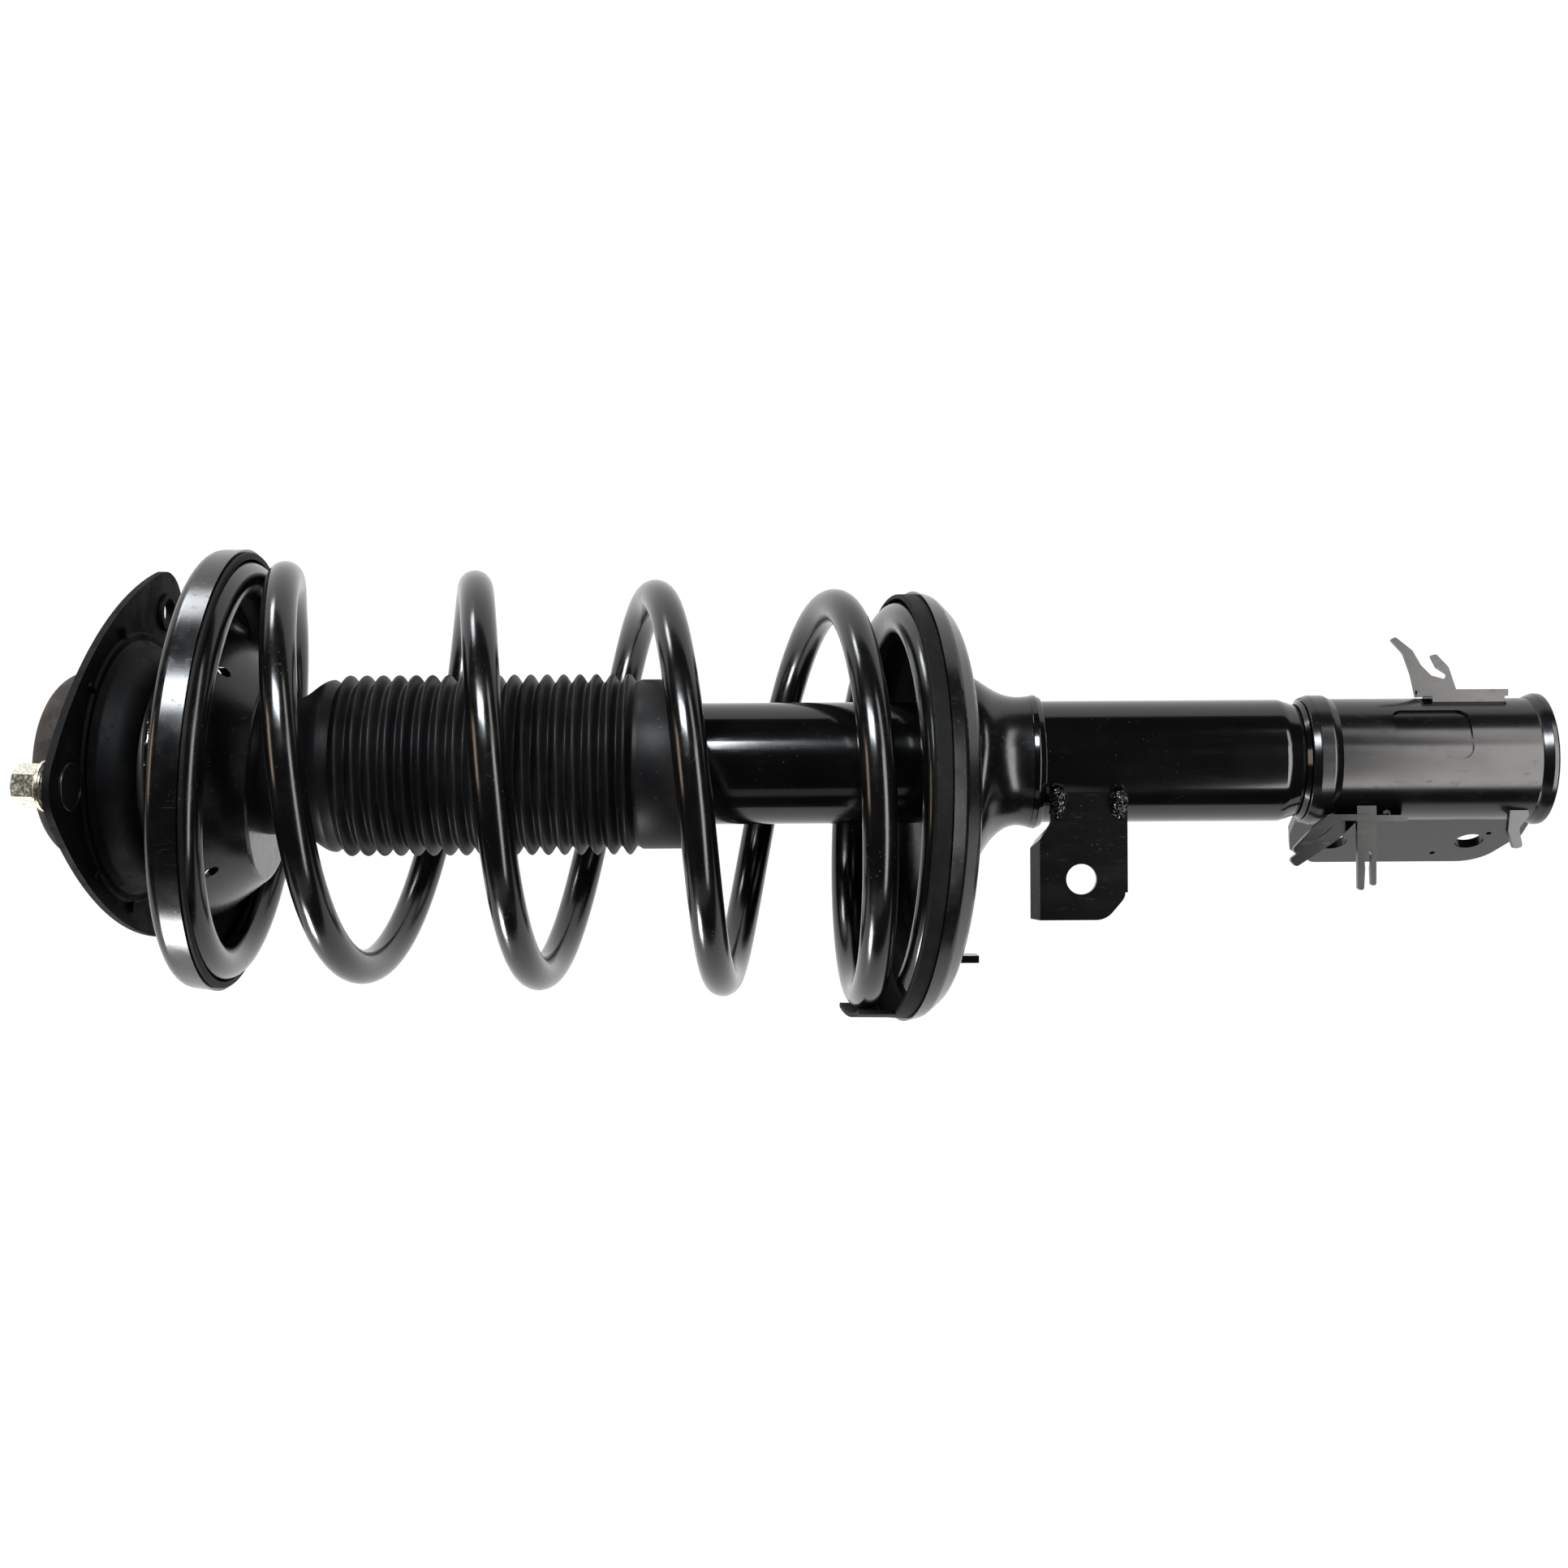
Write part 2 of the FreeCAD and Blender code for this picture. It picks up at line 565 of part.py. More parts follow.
def knuckle_bracket():
    """Pressed sleeve with a bead, a spine recess, a flared end and two bolt ears."""
    height = BRACKET_TOP - BRACKET_BOTTOM
    outer = channel_section(BRACKET_R, EAR_HALF, EAR_REACH).extrude(V(0, 0, height))
    inner = channel_section(BRACKET_R - SHEET, EAR_HALF - 4.0, EAR_REACH + 1).extrude(V(0, 0, height))
    outer.translate(V(0, 0, BRACKET_BOTTOM))
    inner.translate(V(0, 0, BRACKET_BOTTOM))
    bead = turned([(BRACKET_R - 1, BRACKET_TOP), (BRACKET_R + 0.6, BRACKET_TOP, 0.5),
                   (BRACKET_R + 1.6, BRACKET_TOP - 3, 2), (BRACKET_R + 1.6, BRACKET_TOP - 9, 3),
                   (BRACKET_R - 0.4, BRACKET_TOP - 13, 2), (BRACKET_R - 1, BRACKET_TOP - 13)])
    flare = turned([(BRACKET_R - 1, BRACKET_BOTTOM), (BRACKET_R + 1.9, BRACKET_BOTTOM, 0.8),
                    (BRACKET_R + 1.9, BRACKET_BOTTOM + 2.4, 0.8), (BRACKET_R - 0.4, BRACKET_BOTTOM + 8, 5),
                    (BRACKET_R - 1, BRACKET_BOTTOM + 8)])
    ear_trim = side_plate([(-60, BRACKET_BOTTOM - 1, 0), (-60, BRACKET_TOP + 1, 0),
                           (26, BRACKET_TOP + 1, 0), (44, BRACKET_TOP - 3, 0),
                           (EAR_REACH, BRACKET_TOP - 15, 4), (EAR_REACH, BRACKET_BOTTOM + 12, 16),
                           (30, BRACKET_BOTTOM - 1, 0)], -40, 80)
    solid = outer.fuse([bead, flare]).common(ear_trim).cut(inner)
    for z in BOLT_Z:
        hole = Part.makeCylinder(BOLT_R, 80, V(BOLT_AT, -40, z), V(0, 1, 0))
        solid = solid.cut(hole)
    for reach, z in PILOT_HOLES:
        hole = Part.makeCylinder(PILOT_R, 10, V(reach, EAR_HALF - 6, z), V(0, 1, 0))
        solid = solid.cut(hole)
    solid = turn_to_ears(solid.cut(spine_recess()))
    hook = side_plate([(-20, -582.5, 0), (-30, -581.5, 1), (-37.5, -584.0, 1.2), (-36.5, -587.5, 1.2),
                       (-29, -586.0, 3), (-24, -590.0, 0), (-20, -590.0, 0)], -14.0, SHEET)
    return solid.fuse(hook.cut(ring(BRACKET_R - 1, 0, -600, -560))).removeSplitter()


def spine_recess():
    """Shallow rounded rectangle sunk into the sleeve's spine, opposite the ears."""
    half_width, low, high, depth = 11.2, -564.0, -532.5, 1.0
    outline = [(-40, low, 0), (-40, high, 0), (0, high, 0), (0, low, 0)]
    block = side_plate(outline, -half_width, 2 * half_width)
    block = block.makeFillet(4.5, [e for e in block.Edges if abs(e.Vertexes[0].Z - e.Vertexes[-1].Z) < 1e-6
                                   and abs(e.Vertexes[0].Y - e.Vertexes[-1].Y) < 1e-6])
    block = block.cut(ring(BRACKET_R - depth, 0, low - 1, high + 1))
    block.rotate(V(0, 0, 0), UP, RECESS_TURN)
    return block


def bracket_weld():
    neck_r = BRACKET_R - SHEET
    return turned([(neck_r + 0.6, TUBE_NECK_END), (neck_r + 2.6, TUBE_NECK_END),
                   (neck_r + 1.2, TUBE_NECK_END + 1.6)])


def seat_room():
    """Space round the lower seat's neck and weld that the link bracket stays out of."""
    return ring(29.2, 0, NECK_END - 5.5, -370)


def tube_room():
    return Part.makeCylinder(TUBE_R, 200, V(0, 0, -500))


def link_bracket():
    """Plate for the stabilizer link, with a flange bent back on each side."""
    x, z = LINK_HOLE
    left, right, low = z + 17.0, z - 18.0, x - 16.8
    outline = [(-8, left, 0), (-8, right, 0), (-56, right, 6), (low, right + 8, 9), (low, left, 0)]
    plate = side_plate(outline, LINK_Y, LINK_T)
    near, deep, spread = LINK_Y, LINK_Y + 12, 2.6
    section = [V(low, near, left), V(low, near + LINK_T, left - LINK_T), V(low, deep, left + spread - 2.5),
               V(low, deep, left + spread), V(low, near, left)]
    flange = Part.Face(Part.makePolygon(section)).extrude(V(44, 0, 0))
    lower = Part.makeBox(46, 9, LINK_T, V(-54, LINK_Y, right - 1.0))
    waist = side_plate([(0, left + 9, 0), (0, left - 4.5, 0), (-25.5, left - 4.5, 4), (-36.5, left + 3, 0),
                        (-37, left + 9, 0)], LINK_Y - 5, 40)
    bracket = plate.fuse([flange, lower]).cut(waist)
    bracket = bracket.cut(tube_room())
    bracket = bracket.cut(Part.makeCylinder(LINK_HOLE_R, 40, V(x, LINK_Y - 10, z), V(0, 1, 0)))
    return bracket.cut(seat_room()).removeSplitter()


def link_weld(z, length):
    """Thick short bead between one edge of the link bracket and the tube."""
    start = V(-21.0, LINK_Y + 0.8, z)
    bead = Part.makeCylinder(LINK_WELD_R, length, start, V(1, -0.62, 0))
    tip = start + V(1, -0.62, 0).normalize() * length
    ends = [Part.makeSphere(LINK_WELD_R, start), Part.makeSphere(LINK_WELD_R, tip)]
    bead = bead.fuse(ends).removeSplitter()
    bead = bead.cut(tube_room())
    bead = bead.cut(link_bracket()).cut(seat_room())
    return max(bead.Solids, key=lambda solid: solid.Volume)


def hose_bracket():
    """Hook plate on a tab that is welded along the top of the bracket's sleeve."""
    outline = [(26.2, -549.0, 0), (35.7, -547.0, 10), (44.6, -543.9, 4), (50.6, -538.4, 0.8),
               (51.8, -540.4, 0.8), (46.0, -547.6, 1.5), (39.8, -551.1, 3), (35.4, -555.5, 2),
               (33.8, -561.4, 0.8), (35.6, -562.4, 0.6),
               (38.7, -557.8, 1), (43.9, -555.2, 0.8), (44.4, -557.6, 0.8), (39.0, -562.8, 4),
               (26.2, -567.0, 0)]
    plate = side_plate(outline, 3.0, 2.6)
    tab = Part.makeBox(2.8, 14.0, 34.5, V(26.2, -9.4, -583.5))
    foot = Part.makeBox(6.0, 14.0, 30.0, V(22.0, -9.4, -582.0))
    foot = foot.cut(Part.makeCylinder(BRACKET_R, 200, V(0, 0, -700)))
    return plate.fuse([tab, foot]).removeSplitter()


def sensor_bracket():
    """Fork, hole tab and two arms on one pad under the bracket's sleeve."""
    y = -17.0
    fork = side_plate([(-18, -518.2, 0), (-53.6, -518.4, 1.1), (-54.2, -520.9, 1.1), (-45, -521.4, 2),
                       (-38.2, -521.0, 1.2), (-38.2, -524.2, 1.2), (-45, -523.6, 2), (-52.2, -523.8, 0.9),
                       (-51.8, -526.0, 0.9), (-18, -526.2, 0)], y, 2.6)
    tab = Part.makeBox(2.6, 14.0, 21.0, V(-25.6, y - 3.0, -538.0))
    tab = tab.cut(Part.makeCylinder(1.7, 10, V(-30, y + 5.0, -532.0), V(1, 0, 0)))
    arm_a = side_plate([(-22, -507, 0), (-26.5, -500.5, 2), (-37.0, -490.5, 1.5), (-39.6, -493.6, 1.5),
                        (-29.0, -504.5, 2), (-26, -511, 0)], y - 3.0, 2.6)
    arm_b = side_plate([(-22, -518, 0), (-30.0, -508.0, 2), (-41.4, -492.0, 1.5), (-44.6, -495.0, 1.5),
                        (-33.6, -512.0, 2), (-24, -522, 0)], y + 8.0, 2.6)
    bridge = Part.makeBox(2.6, 14.0, 19.0, V(-25.2, y - 3.0, -524.0))
    whole = fork.fuse([tab, arm_a, arm_b, bridge])
    for radius, low, high in ((BRACKET_R, -600, BRACKET_TOP), (BRACKET_R + 1.6, -511, BRACKET_TOP)):
        whole = whole.cut(ring(radius, 0, low, high))
    return whole.removeSplitter()


# Build and write every node

def build():
    save("mount_plate", mount_plate())
    save("mount_hat", mount_hat())
    save("mount_cup", mount_cup())
    save("mount_rubber", mount_rubber())
    save("mount_sleeve", ring(SLEEVE_R, ROD_THREAD_R, ROD_SHOULDER, SLEEVE_TOP))
    nut_low = SLEEVE_TOP + WASHER_T
    save("rod_washer", ring(WASHER_R, ROD_THREAD_R, SLEEVE_TOP, nut_low))
    save("rod_nut", hexagon(ROD_NUT_ACROSS, nut_low, nut_low + ROD_NUT_T, ROD_THREAD_R))
    save("stud", stud())
    save("stud_collar", stud_collar())
    save("stud_nut", stud_nut())
    save("piston_rod", piston_rod())
    save("piston", piston())
    save("piston_band", piston_band())
    save("rebound_stop", rebound_stop())
    save("bump_cup", bump_cup())
    save("bump_stop", bump_stop())
    save("bearing_upper_race", bearing_upper_race())
    save("bearing_balls", bearing_balls())
    save("bearing_lower_race", bearing_lower_race())
    save("upper_spring_seat", upper_spring_seat())
    save("upper_insulator", upper_insulator())
    save("dust_boot", dust_boot())
    save("coil_spring", coil_spring())
    save("strut_tube", strut_tube())
    save("tube_cap", tube_cap())
    save("rod_seal", rod_seal())
    save("rod_guide", rod_guide())
    save("inner_cylinder", inner_cylinder())
    save("base_valve", base_valve())
    save("end_cap", end_cap())
    save("lower_spring_seat", lower_spring_seat())
    save("lower_insulator", lower_insulator())
    save("seat_tab", seat_tab())
    save("seat_weld", seat_weld())
    save("knuckle_bracket", knuckle_bracket())
    save("bracket_weld", bracket_weld())
    save("link_bracket", link_bracket())
    save("link_weld_upper", link_weld(LINK_HOLE[1] + 9.5, 8.0))
    save("link_weld_lower", link_weld(LINK_HOLE[1] - 15.5, 7.0))
    save("hose_bracket", hose_bracket())
    save("sensor_bracket", sensor_bracket())


def write():
    os.makedirs("parts", exist_ok=True)
    for name, shape in NODES.items():
        solids = shape.Solids
        volume = shape.Volume / 1000
        print(f"{name:20s} solids {len(solids)} valid {shape.isValid()} volume {volume:.2f} cm3")
        (solids[0] if len(solids) == 1 else shape).exportStep(f"parts/{name}.step")


build()
write()
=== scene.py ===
"""Looks of the front suspension strut: black paint, rubber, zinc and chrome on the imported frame.

The strut lies along the view's horizontal: the view's right is -Z and its top is +X. Sizes in the
piece builders are millimetres, and every mesh is turned into metres when it is made. Cameras, lamps
and the floor are placed in metres.
"""
import bpy
import json
from math import cos, hypot, pi, radians, sin
from mathutils import Matrix, Vector, noise


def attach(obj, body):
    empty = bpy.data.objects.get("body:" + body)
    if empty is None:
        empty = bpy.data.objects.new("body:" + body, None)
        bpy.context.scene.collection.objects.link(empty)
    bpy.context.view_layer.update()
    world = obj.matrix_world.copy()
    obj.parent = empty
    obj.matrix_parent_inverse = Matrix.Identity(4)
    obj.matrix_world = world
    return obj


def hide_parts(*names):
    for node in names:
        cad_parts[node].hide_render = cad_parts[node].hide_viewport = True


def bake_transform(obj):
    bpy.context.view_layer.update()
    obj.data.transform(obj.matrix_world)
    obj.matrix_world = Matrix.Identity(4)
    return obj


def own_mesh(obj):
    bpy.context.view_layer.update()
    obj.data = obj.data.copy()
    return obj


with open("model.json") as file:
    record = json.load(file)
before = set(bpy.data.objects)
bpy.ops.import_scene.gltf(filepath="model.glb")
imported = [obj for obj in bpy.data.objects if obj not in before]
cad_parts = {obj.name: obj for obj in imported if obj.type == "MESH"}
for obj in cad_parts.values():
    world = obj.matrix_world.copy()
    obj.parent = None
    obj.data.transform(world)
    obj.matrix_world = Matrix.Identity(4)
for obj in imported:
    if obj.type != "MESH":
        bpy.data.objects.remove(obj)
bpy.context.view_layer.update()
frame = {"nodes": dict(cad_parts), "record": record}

NODES = frame["nodes"]
MM = 0.001

# Shared with the CAD, in millimetres
LIFT = 8.3                   # height of the drawing plane above the frame's origin
WIRE_R = 7.15
COIL_R = 80.9
# Wire's centre line: turns, coil centre x and y, slope along x and y, depth under the drawing plane
WIRE = ((-1.03, -1.6, 0.0, -0.073, 0.018, 52.1), (-0.75, -1.6, 0.0, -0.073, 0.018, 52.2),
        (-0.45, -1.6, 0.0, -0.073, 0.018, 52.9), (-0.22, -1.6, 0.0, -0.070, 0.012, 55.0),
        (-0.10, -1.8, 0.0, -0.064, 0.006, 60.0), (0.0, -2.0, 0.0, -0.058, 0.000, 68.9),
        (0.25, -2.9, 1.5, -0.053, 0.008, 91.0), (1.0, -5.7, 6.1, -0.058, 0.032, 146.9),
        (2.0, -9.4, 12.3, -0.064, 0.064, 221.5), (3.0, -13.2, 18.4, -0.062, 0.100, 297.5),
        (3.25, -15.2, 20.4, -0.050, 0.115, 310.2), (3.5, -17.8, 22.6, -0.036, 0.135, 318.0),
        (3.8, -18.3, 23.8, -0.030, 0.155, 325.6), (4.0, -18.4, 24.3, -0.030, 0.160, 329.0),
        (4.43, -18.4, 24.7, -0.030, 0.160, 331.9))
UPPER_END_DEPTH = 68.9       # the wire's share is 0 above this depth
LOWER_END_DEPTH = 325.6      # and 1 below this one
MOUNT_SLOPE = (-0.038, -0.100)
STUD_PAINT_DEPTH = 2.6       # the stud's painted head starts this far under the origin
ROD_R = 10.0
ROD_GAP = 0.3
BUMP_TOP = -32.0
BUMP_LENGTH = 74.0
BOOT_TOP = -62.0
BOOT_BOTTOM = -246.0
BOOT_NECK_R = 28.6

WORLD_SEEN = 0.95            # the pale surroundings as the camera sees them
WORLD_LIGHT = 0.025          # and as they light the part
FLOOR_GLOW = 1.06            # a little over white, so that the floor shows no shade
FLOOR_HALF = 3.0
FLOOR_DEPTH = 0.135          # behind the strut's axis
FLOOR_MIDDLE = -0.27

CAMERA_ROLL = radians(0.35)
CAMERA_DISTANCE = 0.862
CAMERA_AIM = (-8.7, -273.7)  # x and z, in millimetres
CAMERA_LENS = 47.06
CAMERA_SENSOR = 36.0

DUST_COLOUR = (0.075, 0.068, 0.06)
DUST_PATCH = 26              # millimetres
PAINT_EDGE = 0.1             # half the width of a painted edge, in millimetres


# Camera and stage

def look_along(forward, up):
    """Rotation of a camera or lamp that looks along forward with up as its picture's top."""
    back = -Vector(forward).normalized()
    side = Vector(up).cross(back).normalized()
    return Matrix((side, back.cross(side), back)).transposed()


def make_camera():
    """Side view of the lying strut, rolled so that the axis rises a little to the right."""
    data = bpy.data.cameras.new("photo_camera")
    data.sensor_width = CAMERA_SENSOR
    data.lens = CAMERA_LENS
    camera = bpy.data.objects.new("photo_camera", data)
    up = Vector((cos(CAMERA_ROLL), 0, -sin(CAMERA_ROLL)))
    place = look_along((0, 1, 0), up).to_4x4()
    aim = Vector((CAMERA_AIM[0], 0, CAMERA_AIM[1])) * MM
    place.translation = aim + Vector((0, -CAMERA_DISTANCE, 0))
    camera.matrix_world = place
    bpy.context.scene.collection.objects.link(camera)
    bpy.context.scene.camera = camera


def add_lamp(name, place, aim, width, height, power, colour):
    """Soft box at place, facing aim, with its width along the strut. The camera doesn't see it."""
    data = bpy.data.lights.new(name, "AREA")
    data.shape = "RECTANGLE"
    data.size, data.size_y = width, height
    data.energy = power
    data.color = colour
    lamp = bpy.data.objects.new(name, data)
    direction = Vector(aim) - Vector(place)
    pose = look_along(direction, (1, 0, 0)).to_4x4()
    pose.translation = Vector(place)
    lamp.matrix_world = pose
    lamp.visible_camera = False
    bpy.context.scene.collection.objects.link(lamp)


def make_lamps():
    """Name, place, aim, width, height, power and colour of each soft box."""
    cool, neutral = (0.90, 0.95, 1.0), (1.0, 0.98, 0.96)
    add_lamp("key", (0.64, -0.87, 0.07), (0, 0, -0.22), 0.60, 0.30, 24, cool)
    add_lamp("front_card", (-0.35, -0.80, -0.97), (-0.35, 0, -0.97), 0.42, 1.5, 16.0, neutral)
    add_lamp("upper_card", (0.85, -0.80, -1.08), (0.85, 0, -1.08), 0.42, 0.9, 7.5, neutral)
    add_lamp("low_fill", (-0.75, -0.45, -0.10), (0, 0, -0.20), 0.9, 0.22, 0.3, (1.0, 1.0, 1.0))
    add_lamp("warm_edge", (0.10, -0.45, 0.95), (0, 0, -0.15), 0.35, 0.5, 2.6, (1.0, 0.80, 0.58))
    add_lamp("top_rim", (0.90, 0.02, 0.28), (0, 0, -0.05), 0.34, 0.20, 4, (0.92, 0.96, 1.0))
    add_lamp("bottom_rim", (-0.90, 0.02, 0.28), (0, 0, -0.05), 0.34, 0.20, 9, (0.97, 0.99, 1.0))


def make_stage():
    """Pale floor behind the lying strut, seen only from its front, and a pale world."""
    world = bpy.data.worlds.new("pale_world")
    world.use_nodes = True
    tree = world.node_tree
    seen = tree.nodes["Background"]
    seen.inputs["Color"].default_value = (1, 1, 1, 1)
    seen.inputs["Strength"].default_value = WORLD_SEEN
    light = tree.nodes.new("ShaderNodeBackground")
    light.inputs["Color"].default_value = (0.95, 0.98, 1, 1)
    light.inputs["Strength"].default_value = WORLD_LIGHT
    path = tree.nodes.new("ShaderNodeLightPath")
    mix = tree.nodes.new("ShaderNodeMixShader")
    tree.links.new(path.outputs["Is Camera Ray"], mix.inputs["Fac"])
    tree.links.new(light.outputs[0], mix.inputs[1])
    tree.links.new(seen.outputs[0], mix.inputs[2])
    tree.links.new(mix.outputs[0], tree.nodes["World Output"].inputs["Surface"])
    bpy.context.scene.world = world
    bpy.context.scene.view_settings.view_transform = "Standard"

    low, high = FLOOR_MIDDLE - FLOOR_HALF, FLOOR_MIDDLE + FLOOR_HALF
    corners = [(-FLOOR_HALF, FLOOR_DEPTH, low), (FLOOR_HALF, FLOOR_DEPTH, low),
               (FLOOR_HALF, FLOOR_DEPTH, high), (-FLOOR_HALF, FLOOR_DEPTH, high)]
    data = bpy.data.meshes.new("floor")
    data.from_pydata(corners, [], [(0, 1, 2, 3)])
    ground = bpy.data.objects.new("floor", data)
    bpy.context.scene.collection.objects.link(ground)
    material = bpy.data.materials.new("floor_white")
    material.use_nodes = True
    tree = material.node_tree
    tree.nodes.clear()
    out = tree.nodes.new("ShaderNodeOutputMaterial")
    glow = tree.nodes.new("ShaderNodeEmission")
    glow.inputs["Color"].default_value = (1, 1, 1, 1)
    glow.inputs["Strength"].default_value = FLOOR_GLOW
    clear = tree.nodes.new("ShaderNodeBsdfTransparent")
    mix = tree.nodes.new("ShaderNodeMixShader")
    side = tree.nodes.new("ShaderNodeNewGeometry")
    tree.links.new(side.outputs["Backfacing"], mix.inputs["Fac"])
    tree.links.new(glow.outputs[0], mix.inputs[1])
    tree.links.new(clear.outputs[0], mix.inputs[2])
    tree.links.new(mix.outputs[0], out.inputs["Surface"])
    data.materials.append(material)


# Materials

class Finish:
    """A Principled material whose colour, roughness and bump come from procedural layers."""

    def __init__(self, name, colour, roughness, metallic=0.0, specular=0.5, sheen=0.0):
        self.material = bpy.data.materials.new(name)
        self.material.use_nodes = True
        self.material.diffuse_color = (*colour, 1)
        self.tree = self.material.node_tree
        self.shader = self.tree.nodes["Principled BSDF"]
        self.shader.inputs["Base Color"].default_value = (*colour, 1)
        self.shader.inputs["Roughness"].default_value = roughness
        self.shader.inputs["Metallic"].default_value = metallic
        self.shader.inputs["Specular IOR Level"].default_value = specular
        self.shader.inputs["Sheen Weight"].default_value = sheen
        self.where = self.tree.nodes.new("ShaderNodeTexCoord").outputs["Object"]
        self.colour = None
        self.rough = None
        self.normal = None

    def node(self, kind, **values):
        made = self.tree.nodes.new(kind)
        for key, value in values.items():
            setattr(made, key, value)
        return made

    def noise(self, size, detail=3.0, stretch=(1, 1, 1), roughness=0.5):
        """Cloudy pattern with features of about size millimetres, longer along a stretched axis."""
        mapping = self.node("ShaderNodeMapping")
        mapping.inputs["Scale"].default_value = [1 / s for s in stretch]
        self.tree.links.new(self.where, mapping.inputs["Vector"])
        made = self.node("ShaderNodeTexNoise")
        made.inputs["Scale"].default_value = 1 / (size * MM)
        made.inputs["Detail"].default_value = detail
        made.inputs["Roughness"].default_value = roughness
        self.tree.links.new(mapping.outputs[0], made.inputs["Vector"])
        return made.outputs["Fac"]

    def cells(self, size):
        """Distance to scattered points about size millimetres apart, from 0 at a point to 1."""
        made = self.node("ShaderNodeTexVoronoi")
        made.inputs["Scale"].default_value = 1 / (size * MM)
        self.tree.links.new(self.where, made.inputs["Vector"])
        return made.outputs["Distance"]

    def remap(self, value, low, high, to_low=0.0, to_high=1.0):
        """Move the range low to high onto to_low to to_high, clamped at both ends."""
        made = self.node("ShaderNodeMapRange")
        sockets = ("From Min", "From Max", "To Min", "To Max")
        for socket, number in zip(sockets, (low, high, to_low, to_high)):
            made.inputs[socket].default_value = number
        self.tree.links.new(value, made.inputs["Value"])
        return made.outputs["Result"]

    def times(self, a, b):
        made = self.node("ShaderNodeMath", operation="MULTIPLY")
        self.tree.links.new(a, made.inputs[0])
        self.tree.links.new(b, made.inputs[1])
        return made.outputs[0]

    def tint(self, mask, colour):
        """Lay a second colour over the first where mask is 1."""
        made = self.node("ShaderNodeMix", data_type="RGBA")
        self.tree.links.new(mask, made.inputs["Factor"])
        if self.colour is None:
            made.inputs["A"].default_value = self.shader.inputs["Base Color"].default_value[:]
        else:
            self.tree.links.new(self.colour, made.inputs["A"])
        made.inputs["B"].default_value = (*colour, 1)
        self.colour = made.outputs["Result"]
        self.tree.links.new(self.colour, self.shader.inputs["Base Color"])
        return self

    def roughen(self, mask, roughness):
        """Change the roughness to another value where mask is 1."""
        made = self.node("ShaderNodeMix", data_type="FLOAT")
        self.tree.links.new(mask, made.inputs["Factor"])
        if self.rough is None:
            made.inputs["A"].default_value = self.shader.inputs["Roughness"].default_value
        else:
            self.tree.links.new(self.rough, made.inputs["A"])
        made.inputs["B"].default_value = roughness
        self.rough = made.outputs["Result"]
        self.tree.links.new(self.rough, self.shader.inputs["Roughness"])
        return self

    def bump(self, height, depth):
        """Raise the surface by depth millimetres where height is 1."""
        made = self.node("ShaderNodeBump")
        made.inputs["Strength"].default_value = 1.0
        made.inputs["Distance"].default_value = depth * MM
        self.tree.links.new(height, made.inputs["Height"])
        if self.normal is not None:
            self.tree.links.new(self.normal, made.inputs["Normal"])
        self.normal = made.outputs["Normal"]
        self.tree.links.new(self.normal, self.shader.inputs["Normal"])
        return self

    def paint_below(self, depth, slope, colour, roughness):
        """Paint under a leaning plane that is depth millimetres below the origin."""
        along = self.node("ShaderNodeVectorMath", operation="DOT_PRODUCT")
        self.tree.links.new(self.where, along.inputs[0])
        along.inputs[1].default_value = (-slope[0], -slope[1], 1)
        top, bottom = (-depth + PAINT_EDGE) * MM, (-depth - PAINT_EDGE) * MM
        mask = self.remap(along.outputs["Value"], top, bottom)
        bare = self.remap(mask, 1.0, 0.0)
        self.tree.links.new(bare, self.shader.inputs["Metallic"])
        return self.tint(mask, colour).roughen(mask, roughness)

    def dust(self, amount, size=2.6):
        """Fine pale specks, gathered in cloudy patches."""
        specks = self.remap(self.cells(size), 0.16, 0.09)
        patches = self.remap(self.noise(DUST_PATCH, 2), 0.50, 0.70, 0.0, amount)
        return self.tint(self.times(specks, patches), DUST_COLOUR)


def black_paint(name, base, roughness, peel, dust, streak=(1, 1, 1), specular=0.5):
    """Stoved black paint: a little orange peel, uneven gloss, rubbed patches and dust."""
    paint = Finish(name, (base, base, base * 1.08), roughness, specular=specular)
    paint.tint(paint.remap(paint.noise(18, 4), 0.45, 0.75), (base * 2.0, base * 1.95, base * 1.9))
    paint.roughen(paint.remap(paint.noise(9, 5, streak), 0.45, 0.75), roughness * 1.35)
    paint.roughen(paint.remap(paint.noise(2.2, 3, streak), 0.60, 0.76), roughness * 1.6)
    paint.bump(paint.noise(2.4, 2), peel)
    paint.bump(paint.noise(0.5, 2), peel * 0.35)
    return paint.dust(dust)


